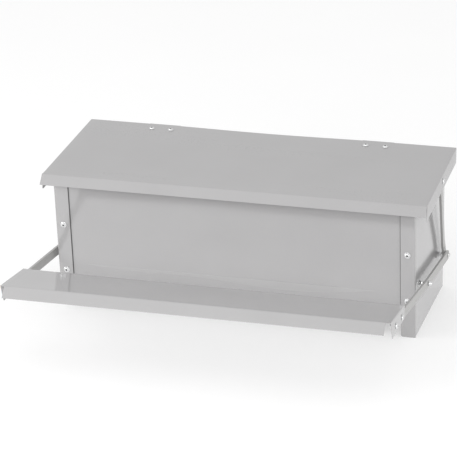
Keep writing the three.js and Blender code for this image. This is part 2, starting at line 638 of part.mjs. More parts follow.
for (const [hand, side] of [["left", -1], ["right", 1]]) {
  const outward = AXIS_X.clone().multiplyScalar(side);
  const inward = outward.clone().negate();
  const at = (x, point) => inSide(side * x, point);

  addPiece(`end_plate_${hand}`, endPlate(side), sheetMaterial());
  addPiece(`arm_${hand}`, arm(side), barMaterial());
  addPiece(`link_${hand}`, link(side), barMaterial());

  // Arm pivot: a bolt from inside the bin, held to the end plate by a washer and nut, with the arm
  // running on it behind a lock nut.
  const armOuterX = ARM_REAR_INNER_X + BAR_THICKNESS;
  const pivotSeatX = INNER_X - GAP;
  const pivotLength = armOuterX + GAP + LOCK_NUT_HEIGHT + THREAD_END - pivotSeatX;
  const plateNutX = END_X + GAP + WASHER_HEIGHT + GAP;
  addTurned(`pivot_bolt_${hand}`, bolt(pivotLength), at(pivotSeatX, PIVOT), inward);
  addTurned(`pivot_washer_${hand}`, ring(WASHER_HEIGHT), at(END_X + GAP, PIVOT), outward);
  addTurned(`pivot_plate_nut_${hand}`, looseNut(NUT_HEIGHT), at(plateNutX, PIVOT), outward);
  const lockNut = looseNut(LOCK_NUT_HEIGHT, LOCK_NUT_HEIGHT);
  addTurned(`pivot_lock_nut_${hand}`, lockNut, at(armOuterX + GAP, PIVOT), outward);

  // Lower link pin: bolt through arm, washer and link, nut towards the bin.
  const linkOuterX = LINK_LOWER_INNER_X + BAR_THICKNESS;
  const pinLength = armOuterX + GAP - LINK_LOWER_INNER_X + GAP + NUT_HEIGHT;
  const linkWasher = ring(ARM_REAR_INNER_X - linkOuterX - 2 * GAP);
  addTurned(`link_bolt_${hand}`, bolt(pinLength), at(armOuterX + GAP, ARM_PIN), outward);
  addTurned(`link_nut_${hand}`, looseNut(), at(LINK_LOWER_INNER_X - GAP, ARM_PIN), outward);
  addTurned(`link_washer_${hand}`, linkWasher, at(linkOuterX + GAP, ARM_PIN), outward);

  // Upper link pin: the lid's bolt and spacer stop just short of the link, which has its own nut.
  const upperOuterX = LINK_UPPER_INNER_X + BAR_THICKNESS;
  const lidInnerX = LID_HALF_WIDTH - SHEET;
  const lidBoltLength = LID_HALF_WIDTH + GAP - upperOuterX - GAP;
  const lidSpacer = ring(lidInnerX - upperOuterX - 2 * GAP);
  addTurned(`lid_link_bolt_${hand}`, bolt(lidBoltLength), at(LID_HALF_WIDTH + GAP, LINK_TOP_PIN), outward);
  addTurned(`lid_link_spacer_${hand}`, lidSpacer, at(upperOuterX + GAP, LINK_TOP_PIN), outward);
  const stub = turned([
    [0, 0],
    [SHANK_RADIUS, 0],
    [SHANK_RADIUS, BAR_THICKNESS],
    [0, BAR_THICKNESS],
  ]);
  const topNut = stub.add(nutBody(0));
  addTurned(`link_top_nut_${hand}`, topNut, at(LINK_UPPER_INNER_X - GAP, LINK_TOP_PIN), outward);

  // Step plate bolts through side flange and arm.
  const stepGrip = STEP_HALF_WIDTH + GAP - ARM_FRONT_INNER_X;
  ARM_STEP_BOLT_YS.forEach((y, i) => {
    const name = `step_bolt_${hand}_${i + 1}`;
    addTurned(name, fastener(stepGrip), at(STEP_HALF_WIDTH + GAP, vec(y, armZ(y))), outward);
  });

  // Panel bolts through the end plate's flanges; the lower ones also hold the floor.
  const panelBolts = [
    ["front", panelBoltPlaces(side, FRONT_BOLT_INSET, FRONT_BOLT_ZS, frontY), FRONT_NORMAL],
    ["rear", panelBoltPlaces(side, REAR_BOLT_INSET, REAR_BOLT_ZS, rearY), REAR_NORMAL],
  ];
  for (const [end, places, normal] of panelBolts) {
    places.forEach((place, i) => {
      const layers = i === 0 ? 3 : 2;
      const seat = place.addScaledVector(normal, GAP);
      addTurned(`${end}_bolt_${hand}_${i + 1}`, fastener(layers * PANEL_OFFSET), seat, normal);
    });
  }

  // Lid hinge: two leaves, a pin, and two bolts in each leaf.
  const x = side * HINGE_X;
  addPiece(`hinge_lid_leaf_${hand}`, lidLeaf(x), zincMaterial());
  addPiece(`hinge_box_leaf_${hand}`, boxLeaf(x), zincMaterial());
  addTurned(`hinge_pin_${hand}`, hingePin(), inSide(x, HINGE_AXIS), AXIS_X);
  const hingeGrip = SHEET + HINGE_LEAF + 2 * GAP;
  boltsOfHinge(x, HINGE_LID_BOLT_Y, lidZ(HINGE_LID_BOLT_Y)).forEach((point, i) => {
    const seat = point.addScaledVector(LID_NORMAL, GAP);
    addTurned(`hinge_lid_bolt_${hand}_${i + 1}`, fastener(hingeGrip), seat, LID_NORMAL);
  });
  boltsOfHinge(x, boxLeafY(HINGE_BOX_BOLT_Z), HINGE_BOX_BOLT_Z).forEach((point, i) => {
    const seat = point.addScaledVector(REAR_NORMAL, HINGE_LEAF + GAP);
    addTurned(`hinge_box_bolt_${hand}_${i + 1}`, fastener(hingeGrip), seat, REAR_NORMAL);
  });
}

export default feeder;
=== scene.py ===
"""A treadle poultry feeder in folded sheet steel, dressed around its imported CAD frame.

Every piece is built in metres in the frame's own axes: +X right, +Y back, +Z up.  The corners of
each CAD solid give the places, and each section below builds one family of pieces.
"""

import json
import math

import bmesh
import bpy
from mathutils import Matrix, Vector

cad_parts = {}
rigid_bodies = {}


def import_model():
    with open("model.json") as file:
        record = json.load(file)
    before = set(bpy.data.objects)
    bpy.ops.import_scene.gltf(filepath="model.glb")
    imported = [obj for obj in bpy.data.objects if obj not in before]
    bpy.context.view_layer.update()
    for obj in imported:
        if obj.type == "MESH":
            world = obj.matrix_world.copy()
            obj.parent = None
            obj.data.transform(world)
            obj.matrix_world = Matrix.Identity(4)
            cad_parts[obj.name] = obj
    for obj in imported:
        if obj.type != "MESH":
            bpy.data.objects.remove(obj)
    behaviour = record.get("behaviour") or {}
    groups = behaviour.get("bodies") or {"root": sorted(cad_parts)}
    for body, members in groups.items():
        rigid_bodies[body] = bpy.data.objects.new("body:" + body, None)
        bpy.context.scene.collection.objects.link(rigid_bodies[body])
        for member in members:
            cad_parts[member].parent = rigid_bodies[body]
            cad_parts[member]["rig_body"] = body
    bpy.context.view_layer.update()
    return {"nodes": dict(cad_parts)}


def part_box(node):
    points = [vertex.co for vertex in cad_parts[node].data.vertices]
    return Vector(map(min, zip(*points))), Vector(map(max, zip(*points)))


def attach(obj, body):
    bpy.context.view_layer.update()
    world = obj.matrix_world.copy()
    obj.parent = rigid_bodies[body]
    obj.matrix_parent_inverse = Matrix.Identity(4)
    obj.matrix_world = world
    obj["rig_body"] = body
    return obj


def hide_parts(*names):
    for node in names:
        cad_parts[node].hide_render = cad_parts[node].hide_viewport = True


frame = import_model()
NODES = frame["nodes"]

MM = 0.001
HANDS = (("left", -1), ("right", 1))

# Sheet metal: folds sharper than the bend angle are rounded, and so are cut edges
SHEET = 1.2 * MM
BEND_RADIUS = 2.2 * MM
BEND_SEGMENTS = 4
BEND_ANGLE = math.radians(12)
CUT_EDGE_RADIUS = 0.25 * MM
CUT_EDGE_ANGLE = math.radians(55)
CORNER_RADIUS = 2.5 * MM
MERGE_DISTANCE = 0.02 * MM
LID_COLUMNS = 40
LID_ROWS = 12
LID_NOTCH = 4.7 * MM
LID_CORNER_RADIUS = 4 * MM
LID_SAG = 2.2 * MM
STEP_COLUMNS = 40
STEP_ROWS = 10
STEP_NOTCH = 2.5 * MM
STEP_LIP_INSET = 10.5 * MM
STEP_HEM = 10 * MM
STEP_TIP_RADIUS = 1.2 * MM
STEP_WAVE = 0.45 * MM
STEP_DIP = 0.5 * MM
PANEL_COLUMNS = 40
PANEL_ROWS = 14
PANEL_RECESS = 0.8 * MM
PANEL_RETURN = 14 * MM
PANEL_BULGE = 0.9 * MM
PANEL_WAVE = 0.35 * MM
FLOOR_COLUMNS = 12
FOOT_CORNER_RADIUS = 5 * MM
REAR_FLANGE_WIDTH = 25 * MM
FOOT_FLANGE_WIDTH = 22 * MM
FOLD_RELIEF = 3.5 * MM
BAR_EDGE_RADIUS = 0.5 * MM
BAR_EDGE_ANGLE = math.radians(30)

# Fasteners
CAD_HEAD_HEIGHT = 3.6 * MM
HEAD_FLANGE_RADIUS = 6.8 * MM
HEAD_FLANGE_HEIGHT = 0.9 * MM
HEAD_DOME_RADIUS = 5.3 * MM
HEAD_HEIGHT = 3.5 * MM
SOCKET_FLAT = 2.1 * MM
SOCKET_DEPTH = 2.2 * MM
THREAD_RADIUS = 2.95 * MM
THREAD_DEPTH = 0.28 * MM
THREAD_PITCH = 1 * MM
NUT_FLAT = 5 * MM
NUT_HEIGHT = 5 * MM
LOCK_COLLAR = 2 * MM
NUT_OVERHANG = 1 * MM
WASHER_RADIUS = 6 * MM
WASHER_BORE = 3.25 * MM
ROUND_STEPS = 36
SMOOTH_ANGLE = math.radians(38)

# Hinges
HINGE_HALF = 36 * MM
HINGE_KNUCKLE_HALF = 18 * MM
HINGE_LEAF = 2 * MM
HINGE_BARREL_RADIUS = 4 * MM
HINGE_PIN_RADIUS = 2 * MM
HINGE_CORNER = 4 * MM
HINGE_GAP = 0.3 * MM
HINGE_EDGE_ANGLE = math.radians(50)
BOX_LEAF_LEAN = -0.048
PIN_HEAD_OVERHANG = 1.2 * MM

# Finishes
SHEET_GREY = (0.419, 0.414, 0.417)
STEP_GREY = (0.442, 0.437, 0.440)
BAR_GREY = (0.378, 0.375, 0.367)
SEAM_SHADE_GREY = (0.06, 0.06, 0.06)
# Painted shade: the dark line on the front and rear panels along the flange edges, for the shadow in the
# gap
SEAM_SHADE_WIDTH = 1.7 * MM
ZINC_GREY = (0.82, 0.825, 0.83)
# Painted shade: the dark zinc inside the bolt heads' sockets, for the shadow down in them
SOCKET_SHADE_GREY = (0.16, 0.16, 0.165)
HINGE_GREY = (0.62, 0.625, 0.63)

# Stage and light
FLOOR_SIZE = 30
FLOOR_GREYS = ((0.54, 0.54, 0.54), (0.56, 0.56, 0.56))
FLOOR_GLOW = 0.45
WORLD_LIGHT = 0.83
SOFTBOX_AIM = Vector((0, 0, 0.15))
SOFTBOXES = (
    # name, place, size, power in watts
    ("left", (-3.0, -1.8, 1.6), (2.4, 2.0), 50),
    ("right", (3.0, -1.0, 0.9), (2.0, 1.4), 10),
    ("front", (0.3, -3.4, 1.7), (3.0, 1.4), 38),
)

# Camera: a long lens, level to within a fraction of a degree, aimed above the front foot
CAMERA_TARGET_X = -0.0153
CAMERA_TARGET_Z = 0.2122
CAMERA_AZIMUTH = math.radians(15.2)
CAMERA_ELEVATION = math.radians(19.74)
CAMERA_ROLL = math.radians(-0.16)
CAMERA_DISTANCE = 5.341
CAMERA_LENS = 194.7
CAMERA_SENSOR = 36.0


# ------------------------------------------------------------------ reading the frame


def cad_points(node):
    return [v.co for v in NODES[node].data.vertices]


def corner(node, y, z):
    """The (y, z) place of a CAD node's outermost corner toward (y, z) in its side view."""
    best = max(cad_points(node), key=lambda p: p.y * y + p.z * z)
    return Vector((best.y, best.z))


def half_width(node):
    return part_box(node)[1].x


def point(x, side_view):
    """A place from its x and its (y, z) in the side view."""
    return Vector((x, side_view[0], side_view[1]))


# ------------------------------------------------------------------ materials


class Nodes:
    """Short calls for building one material's node tree."""

    def __init__(self, name):
        self.material = bpy.data.materials.new(name)
        self.material.use_nodes = True
        self.tree = self.material.node_tree
        self.tree.nodes.clear()
        self.shader = self.add("ShaderNodeBsdfPrincipled")
        output = self.add("ShaderNodeOutputMaterial")
        self.link(self.shader.outputs["BSDF"], output.inputs["Surface"])
        self.coords = self.add("ShaderNodeTexCoord").outputs["Object"]

    def add(self, kind):
        return self.tree.nodes.new(kind)

    def link(self, source, target):
        self.tree.links.new(source, target)

    def stretched(self, scale):
        mapping = self.add("ShaderNodeMapping")
        mapping.inputs["Scale"].default_value = scale
        self.link(self.coords, mapping.inputs["Vector"])
        return mapping.outputs["Vector"]

    def noise(self, scale, detail=3.0, roughness=0.5, vector=None):
        noise = self.add("ShaderNodeTexNoise")
        noise.inputs["Scale"].default_value = scale
        noise.inputs["Detail"].default_value = detail
        noise.inputs["Roughness"].default_value = roughness
        self.link(vector or self.coords, noise.inputs["Vector"])
        return noise.outputs["Fac"]

    def ranged(self, value, low, high, out_low, out_high):
        ranger = self.add("ShaderNodeMapRange")
        limits = {"From Min": low, "From Max": high, "To Min": out_low, "To Max": out_high}
        for name, number in limits.items():
            ranger.inputs[name].default_value = number
        self.link(value, ranger.inputs["Value"])
        return ranger.outputs["Result"]

    def math(self, operation, a, b):
        node = self.add("ShaderNodeMath")
        node.operation = operation
        for socket, value in zip(node.inputs, (a, b)):
            if isinstance(value, (int, float)):
                socket.default_value = value
            else:
                self.link(value, socket)
        return node.outputs["Value"]

    def distance_across(self, x):
        """How far a point is, to left or right, from the lines at x and -x."""
        place = self.add("ShaderNodeSeparateXYZ")
        self.link(self.coords, place.inputs["Vector"])
        outward = self.math("ABSOLUTE", place.outputs["X"], 0)
        return self.math("ABSOLUTE", self.math("SUBTRACT", outward, x), 0)

    def mixed(self, factor, a, b):
        mix = self.add("ShaderNodeMix")
        mix.data_type = "RGBA"
        self.link(factor, mix.inputs["Factor"])
        for socket, value in ((mix.inputs["A"], a), (mix.inputs["B"], b)):
            if isinstance(value, tuple):
                socket.default_value = (*value, 1.0)
            else:
                self.link(value, socket)
        return mix.outputs["Result"]

    def bump(self, height, distance, strength, normal=None):
        node = self.add("ShaderNodeBump")
        node.inputs["Distance"].default_value = distance
        node.inputs["Strength"].default_value = strength
        self.link(height, node.inputs["Height"])
        if normal is not None:
            self.link(normal, node.inputs["Normal"])
        return node.outputs["Normal"]

    def set(self, **sockets):
        for name, value in sockets.items():
            socket = self.shader.inputs[name.replace("_", " ")]
            if isinstance(value, (int, float)):
                socket.default_value = value
            else:
                self.link(value, socket)


def coated_steel(name, grey, roughness, metallic=0.15, peel=0.5, shaded_seams=()):
    """Semi-gloss coating on sheet: mottled tone, fine grain, rubbed streaks and orange peel.

    Each seam, given as (x, width), is a line at either hand where another sheet laps this one; along it
    the colour darkens, a painted shade for the shadow in the gap, with some grime that gathers there.
    """
    n = Nodes(name)
    mottle = n.noise(7.0, detail=5)
    grain = n.noise(700.0, detail=2)
    rubbed = n.noise(1.0, detail=2, vector=n.stretched((2.0, 11.0, 13.0)))
    cloudy = n.ranged(mottle, 0.3, 0.7, -0.02, 0.02)
    tone = n.math("ADD", cloudy, n.ranged(grain, 0.3, 0.7, -0.015, 0.015))
    dark = tuple(c * 0.9 for c in grey)
    light = tuple(c * 1.1 for c in grey)
    colour = n.mixed(n.math("ADD", n.math("MULTIPLY", tone, 5.0), 0.5), dark, light)
    # painted shade: along each seam the colour darkens toward the seam grey, for the shadow in the gap
    # between the sheets
    for x, width in shaded_seams:
        colour = n.mixed(n.ranged(n.distance_across(x), width / 3, width, 0.75, 0), colour, SEAM_SHADE_GREY)
    n.link(colour, n.shader.inputs["Base Color"])
    worn = n.ranged(rubbed, 0.3, 0.7, -0.015, 0.015)
    gloss = n.math("ADD", worn, n.ranged(grain, 0.3, 0.7, -0.02, 0.02))
    normal = n.bump(n.noise(420.0, detail=2), 0.00012, peel)
    n.set(Roughness=n.math("ADD", gloss, roughness), Metallic=metallic, Normal=normal)
    return n.material


def zinc_plate(name, grey, roughness):
    """Bright zinc on fasteners: crystalline mottling, faint staining and fine scratches."""
    n = Nodes(name)
    cells = n.add("ShaderNodeTexVoronoi")
    cells.inputs["Scale"].default_value = 900.0
    n.link(n.coords, cells.inputs["Vector"])
    crystals = n.ranged(cells.outputs["Distance"], 0.0, 0.9, 0.0, 1.0)
    stain = n.noise(90.0, detail=3)
    base = n.mixed(crystals, tuple(c * 0.94 for c in grey), grey)
    warm = (grey[0] * 0.9, grey[1] * 0.885, grey[2] * 0.84)
    n.link(n.mixed(n.ranged(stain, 0.5, 0.8, 0.0, 0.5), base, warm), n.shader.inputs["Base Color"])
    normal = n.bump(n.noise(1500.0, detail=2), 0.00002, 0.3)
    gloss = n.ranged(stain, 0.3, 0.7, roughness - 0.02, roughness + 0.04)
    n.set(Roughness=gloss, Metallic=1.0, Normal=normal)
    return n.material


FLANGE_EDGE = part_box("end_plate_right")[0].x
REAR_FLANGE_EDGE = half_width("end_plate_right") - REAR_FLANGE_WIDTH


def panel_steel(name, flange_edge):
    # the panel is painted darker along the flange edge, a painted shade for the shadow in the gap
    seam = (flange_edge - SEAM_SHADE_WIDTH / 3, SEAM_SHADE_WIDTH)
    return coated_steel(name, SHEET_GREY, 0.12, metallic=0.25, peel=0.25, shaded_seams=[seam])


PAINT = {
    "lid": coated_steel("coated_lid", SHEET_GREY, 0.3),
    "front_panel": panel_steel("coated_front_panel", FLANGE_EDGE),
    "rear_panel": panel_steel("coated_rear_panel", REAR_FLANGE_EDGE),
    "tray": coated_steel("coated_tray", SHEET_GREY, 0.2),
    "plate": coated_steel("coated_end_plate", SHEET_GREY, 0.14, metallic=0.25, peel=0.25),
    "step": coated_steel("coated_step", STEP_GREY, 0.09, metallic=0.2, peel=0.2),
    "bar": coated_steel("coated_bar", BAR_GREY, 0.3, peel=0.8),
    "zinc": zinc_plate("zinc_fasteners", ZINC_GREY, 0.16),
    # painted shade for the shadow inside the sockets
    "recess": zinc_plate("zinc_socket_shade", SOCKET_SHADE_GREY, 0.45),
    "hinge": zinc_plate("zinc_hinges", HINGE_GREY, 0.3),
}


# ------------------------------------------------------------------ making pieces


def add_object(name, mesh, paint):
    obj = bpy.data.objects.new(name, mesh)
    bpy.context.scene.collection.objects.link(obj)
    obj.data.materials.clear()
    obj.data.materials.append(PAINT[paint])
    return obj


def stand_for(obj, node):
    """The piece takes a CAD node's place: it rides on its body and hides it."""
    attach(obj, NODES[node]["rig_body"])
    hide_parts(node)
    return obj


def rounded(outline, radii, steps=6):
    """A flat outline, as 2D points, with its corners rounded to the given radii."""
    result = []
    for i, here in enumerate(outline):
        radius = radii[i] if isinstance(radii, (list, tuple)) else radii
        if radius <= 0:
            result.append(here)
            continue
        before = (outline[i - 1] - here).normalized()
        after = (outline[(i + 1) % len(outline)] - here).normalized()
        half = before.angle(after) / 2
        reach = radius / math.tan(half)
        centre = here + (before + after).normalized() * (radius / math.sin(half))
        start = here + before * reach - centre
        end = here + after * reach - centre
        turn = start.angle_signed(end)
        for k in range(steps + 1):
            result.append(centre + Matrix.Rotation(-turn * k / steps, 2) @ start)
    return result


def folded_sheet(name, faces, inside, paint):
    """Sheet metal from its outer faces, given as lists of points: shared edges become bends.

    The thickness goes toward the side on which the point inside lies.
    """
    bm = bmesh.new()
    for face in faces:
        bm.faces.new([bm.verts.new(p) for p in face])
    bmesh.ops.remove_doubles(bm, verts=bm.verts, dist=MERGE_DISTANCE)
    bmesh.ops.recalc_face_normals(bm, faces=bm.faces)
    bm.faces.ensure_lookup_table()
    largest = max(bm.faces, key=lambda f: f.calc_area())
    if largest.normal.dot(inside - largest.calc_center_median()) > 0:
        bmesh.ops.reverse_faces(bm, faces=bm.faces)
    bends = [e for e in bm.edges if len(e.link_faces) == 2 and e.calc_face_angle() > BEND_ANGLE]
    bmesh.ops.bevel(
        bm, geom=bends, offset=BEND_RADIUS, segments=BEND_SEGMENTS, profile=0.5, affect="EDGES"
    )
    mesh = bpy.data.meshes.new(name)
    bm.to_mesh(mesh)
    bm.free()
    obj = add_object(name, mesh, paint)
    solid = obj.modifiers.new("thickness", "SOLIDIFY")
    solid.thickness = SHEET
    solid.offset = -1
    solid.use_even_offset = True
    soften(obj, CUT_EDGE_RADIUS, CUT_EDGE_ANGLE)
    return obj


def soften(obj, width, angle, segments=2):
    """Rounds the cut edges a little and shades the rest smooth."""
    bevel = obj.modifiers.new("cut_edges", "BEVEL")
    bevel.width = width
    bevel.segments = segments
    bevel.limit_method = "ANGLE"
    bevel.angle_limit = angle
    bevel.use_clamp_overlap = True
    bevel.harden_normals = True
    obj.data.shade_smooth()
    return obj


def crosswise(half, start, end):
    """The corners of a face over the whole width, between two places of the side view."""
    return [point(-half, start), point(half, start), point(half, end), point(-half, end)]


def grid_faces(corners, columns, rows, shape=lambda p, u, v: p):
    """A quad grid between four corners, given in turn; shape moves each point."""
    a, b, c, d = corners
    points = [
        [shape(a.lerp(b, u).lerp(d.lerp(c, u), v), u, v) for u in columns]
        for v in rows
    ]
    return [
        [points[j][i], points[j][i + 1], points[j + 1][i + 1], points[j + 1][i]]
        for j in range(len(rows) - 1)
        for i in range(len(columns) - 1)
    ]


def steps(count):
    return [i / count for i in range(count + 1)]


# ------------------------------------------------------------------ lid


def build_lid():
    half = half_width("lid")
    rear = corner("lid", 0.4, 1)
    fold = corner("lid", -0.35, 1)
    lip = corner("lid", -1, -0.1)
    low_rear = corner("lid", 1, -1)
    low_front = corner("lid", -0.3, -1)
    depth = rear.x - fold.x
    notch = LID_NOTCH / depth
    columns = steps(LID_COLUMNS)
    rows = [0, notch] + [notch + (1 - notch) * t for t in steps(LID_ROWS)[1:]]

    def sagged(p, u, v):
        middle = max(0.0, 1 - ((u - 0.5) / 0.3) ** 2)
        return p - Vector((0, 0, LID_SAG * middle ** 2 * v ** 3))

    top = crosswise(half, fold, rear)
    faces = grid_faces(top, columns, rows, sagged)
    faces += grid_faces(crosswise(half, lip, fold), columns, [0, 1])
    for side in (-1, 1):
        upper = [fold.lerp(rear, v) for v in rows[1:]]
        outline = [upper[0], low_front, low_rear, rear]
        lower = rounded(outline, [0, LID_CORNER_RADIUS, CORNER_RADIUS, 0])[1:-1]
        faces.append([point(side * half, p) for p in upper + lower[::-1]])
    obj = folded_sheet("lid_sheet", faces, Vector((0, (rear.x + fold.x) / 2, 0)), "lid")
    return stand_for(obj, "lid")


# ------------------------------------------------------------------ step plate


def build_step_plate():
    half = half_width("step_plate")
    rear = corner("step_plate", 1, 1)
    fold = corner("step_plate", -0.45, 1)
    lip = corner("step_plate", -1, -0.1)
    tip = corner("step_plate", -0.3, -1)
    low_rear = corner("step_plate", 0.6, -1)
    depth = rear.x - fold.x
    notch = STEP_NOTCH / depth
    lip_half = half - STEP_LIP_INSET
    edge = (half - lip_half) / (2 * half)
    columns = [0.0] + [edge + (1 - 2 * edge) * t for t in steps(STEP_COLUMNS)] + [1.0]
    rows = [0, notch] + [notch + (1 - notch) * t for t in steps(STEP_ROWS)[1:]]

    def rolled(p, u, v):
        dip = math.sin(math.pi * u) * math.sin(math.pi * v)
        return p + Vector((0, 0, (STEP_WAVE * math.sin(7.3 * u + 0.8) - STEP_DIP) * dip))

    top = crosswise(half, fold, rear)
    faces = grid_faces(top, columns, rows, rolled)
    hem = Vector((rear.x, rear.y - STEP_HEM))
    for start, end in ((lip, fold), (rear, hem)):
        faces += grid_faces(crosswise(lip_half, start, end), steps(STEP_COLUMNS), [0, 1])
    for side in (-1, 1):
        upper = [fold.lerp(rear, v) for v in rows[1:]]
        outline = [upper[0], tip, low_rear, rear]
        lower = rounded(outline, [0, STEP_TIP_RADIUS, CORNER_RADIUS, 0])[1:-1]
        faces.append([point(side * half, p) for p in upper + lower[::-1]])
    obj = folded_sheet("step_sheet", faces, Vector((0, (rear.x + fold.x) / 2, 0)), "step")
    return stand_for(obj, "step_plate")


# ------------------------------------------------------------------ bin panels


def build_end_plate(hand, side):
    """A side wall with a leaning front flange down to the ground and turned-in rear and foot flanges."""
    node = f"end_plate_{hand}"
    low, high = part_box(node)
    outer = max(abs(low.x), abs(high.x))
    flange = high.x - low.x
    front_low = corner(node, -1, -6)
    front_top = corner(node, -1, 1)
    rear_low = corner(node, 1, -1)
    rear_top = corner(node, 0.3, 1)

    def inboard(inset, side_view):
        return point(side * (outer - inset), side_view)

    flange_top = front_low.lerp(front_top, 0.995)
    rear_flange_top = rear_low.lerp(rear_top, 0.97)
    relief = (rear_low - front_low).normalized() * FOLD_RELIEF
    side_face = [front_low, front_low + relief, rear_low - relief, rear_low,
                 rear_flange_top, rear_top, front_top, flange_top]
    faces = [[inboard(0, p) for p in side_face]]
    lean = flange_top - front_low
    length = lean.length
    flat = [Vector((0, 0)), Vector((0, length)), Vector((flange, length)), Vector((flange, 0))]
    outline = rounded(flat, [0, 0, CORNER_RADIUS, FOOT_CORNER_RADIUS])
    faces.append([inboard(p.x, front_low + lean * (p.y / length)) for p in outline])
    faces.append([inboard(0, rear_low), inboard(0, rear_flange_top),
                  inboard(REAR_FLANGE_WIDTH, rear_flange_top), inboard(REAR_FLANGE_WIDTH, rear_low)])
    foot_front, foot_rear = side_face[1], side_face[2]
    inset_front = foot_front.lerp(foot_rear, 0.03)
    inset_rear = foot_rear.lerp(foot_front, 0.03)
    faces.append([inboard(0, foot_front), inboard(0, foot_rear),
                  inboard(FOOT_FLANGE_WIDTH, inset_rear), inboard(FOOT_FLANGE_WIDTH, inset_front)])
    middle = (front_low + rear_top) / 2
    obj = folded_sheet(f"end_sheet_{hand}", faces, point(0, middle), "plate")
    return stand_for(obj, node)


def build_panel(name, node, forward):
    """A front or rear wall with a return along its top and bottom edges."""
    low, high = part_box(node)
    half = high.x
    face_low = corner(node, forward, -1.2)
    face_top = corner(node, forward, 1.2)
    reach = Vector((-forward * PANEL_RETURN, 0))
    recess = Vector((0, -forward * PANEL_RECESS, 0))

    def dished(p, u, v):
        bulge = math.sin(math.pi * u) * math.sin(math.pi * v)
        wave = math.sin(9.1 * u + 1.3) * math.sin(5.2 * v + 0.4)
        return p + recess + Vector((0, -forward * (PANEL_BULGE + PANEL_WAVE * wave) * bulge, 0))

    columns = steps(PANEL_COLUMNS)
    wall = crosswise(half, face_low, face_top)
    faces = grid_faces(wall, columns, steps(PANEL_ROWS), dished)
    for edge, a, b in ((face_low, wall[0], wall[1]), (face_top, wall[3], wall[2])):
        turned = edge + reach
        corners = [a + recess, b + recess, point(half, turned), point(-half, turned)]
        faces += grid_faces(corners, columns, [0, 1])
    centre = (low + high) / 2
    obj = folded_sheet(name, faces, Vector((0, centre.y - forward * 0.2, centre.z)), node)
    return stand_for(obj, node)


def build_floor_tray():
    """The bin's bottom, with its front and rear edges turned up along the walls."""
    node = "floor_panel"
    low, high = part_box(node)
    half = high.x
    front_top = corner(node, -1, 1)
    front_low = corner(node, -1, -2)
    rear_low = corner(node, 1, -2)
    rear_top = corner(node, 1, 3)
    line = [front_top, front_low, rear_low, rear_top]
    faces = []
    for a, b in zip(line, line[1:]):
        faces += grid_faces(crosswise(half, a, b), steps(FLOOR_COLUMNS), [0, 1])
    obj = folded_sheet("floor_tray", faces, Vector((0, (low.y + high.y) / 2, high.z)), "tray")
    return stand_for(obj, node)


# ------------------------------------------------------------------ flat bars


def build_bar(node):
    """The CAD bar keeps its shape and gets a bar finish with eased edges."""
    obj = NODES[node]
    obj.data.materials.clear()
    obj.data.materials.append(PAINT["bar"])
    soften(obj, BAR_EDGE_RADIUS, BAR_EDGE_ANGLE, segments=3)
    return obj


# ------------------------------------------------------------------ fasteners


def polar_mesh(name, rings, caps=(True, True)):
    """A closed turned mesh about +Z: rings are (radius or radius function, height)."""
    bm = bmesh.new()
    loops = []
    for radius, height in rings:
        loop = []
        for i in range(ROUND_STEPS):
            a = 2 * math.pi * i / ROUND_STEPS
            r = radius(a) if callable(radius) else radius
            loop.append(bm.verts.new((r * math.cos(a), r * math.sin(a), height)))
        loops.append(loop)
    for low, high in zip(loops, loops[1:]):
        for i in range(ROUND_STEPS):
            k = (i + 1) % ROUND_STEPS
            bm.faces.new([low[i], low[k], high[k], high[i]])
    if caps[0]:
        bm.faces.new(loops[0][::-1])
    if caps[1]:
        bm.faces.new(loops[-1])
    if not any(caps):
        for i in range(ROUND_STEPS):
            k = (i + 1) % ROUND_STEPS
            bm.faces.new([loops[-1][i], loops[-1][k], loops[0][k], loops[0][i]])
    bmesh.ops.recalc_face_normals(bm, faces=bm.faces)
    mesh = bpy.data.meshes.new(name)
    bm.to_mesh(mesh)
    bm.free()
    mesh.shade_smooth()
    mesh.set_sharp_from_angle(angle=SMOOTH_ANGLE)
    return mesh


def hexagon(flat):
    """A hexagon's radius by angle, from its half width across flats."""
    sector = math.pi / 3
    return lambda a: flat / math.cos((a % sector) - sector / 2)


def clipped_hexagon(flat, limit):
    shape = hexagon(flat)
    return lambda a: min(shape(a), limit)


def thread_rings(bottom, top):
    """Rings of a ridged shank, from bottom up to top."""
    rings = [(THREAD_RADIUS - 0.6 * MM, bottom), (THREAD_RADIUS - THREAD_DEPTH, bottom + 0.5 * MM)]
    height = bottom + 0.5 * MM
    while height + THREAD_PITCH < top:
        rings.append((THREAD_RADIUS, height + THREAD_PITCH / 2))
        rings.append((THREAD_RADIUS - THREAD_DEPTH, height + THREAD_PITCH))
        height += THREAD_PITCH
    rings.append((THREAD_RADIUS, top))
    return rings


def button_head_rings():
    """A flanged domed head with a hexagon socket, standing on height 0."""
    socket = hexagon(SOCKET_FLAT)
    rings = [
        (HEAD_FLANGE_RADIUS - 0.3 * MM, 0),
        (HEAD_FLANGE_RADIUS, 0.25 * MM),
        (HEAD_FLANGE_RADIUS, HEAD_FLANGE_HEIGHT - 0.3 * MM),
        (HEAD_FLANGE_RADIUS - 0.35 * MM, HEAD_FLANGE_HEIGHT),
        (HEAD_DOME_RADIUS + 0.2 * MM, HEAD_FLANGE_HEIGHT + 0.05 * MM),
    ]
    rim = SOCKET_FLAT * 1.3
    rise = HEAD_HEIGHT - HEAD_FLANGE_HEIGHT - 0.1 * MM
    for i in range(7):
        angle = math.radians(15 * i)
        radius = rim + (HEAD_DOME_RADIUS - rim) * math.cos(angle)
        rings.append((radius, HEAD_FLANGE_HEIGHT + 0.1 * MM + rise * math.sin(angle)))
    rings += [
        (socket, HEAD_HEIGHT - 0.3 * MM),
        (socket, HEAD_HEIGHT - SOCKET_DEPTH),
        (SOCKET_FLAT * 0.4, HEAD_HEIGHT - SOCKET_DEPTH - 0.5 * MM),
    ]
    return rings


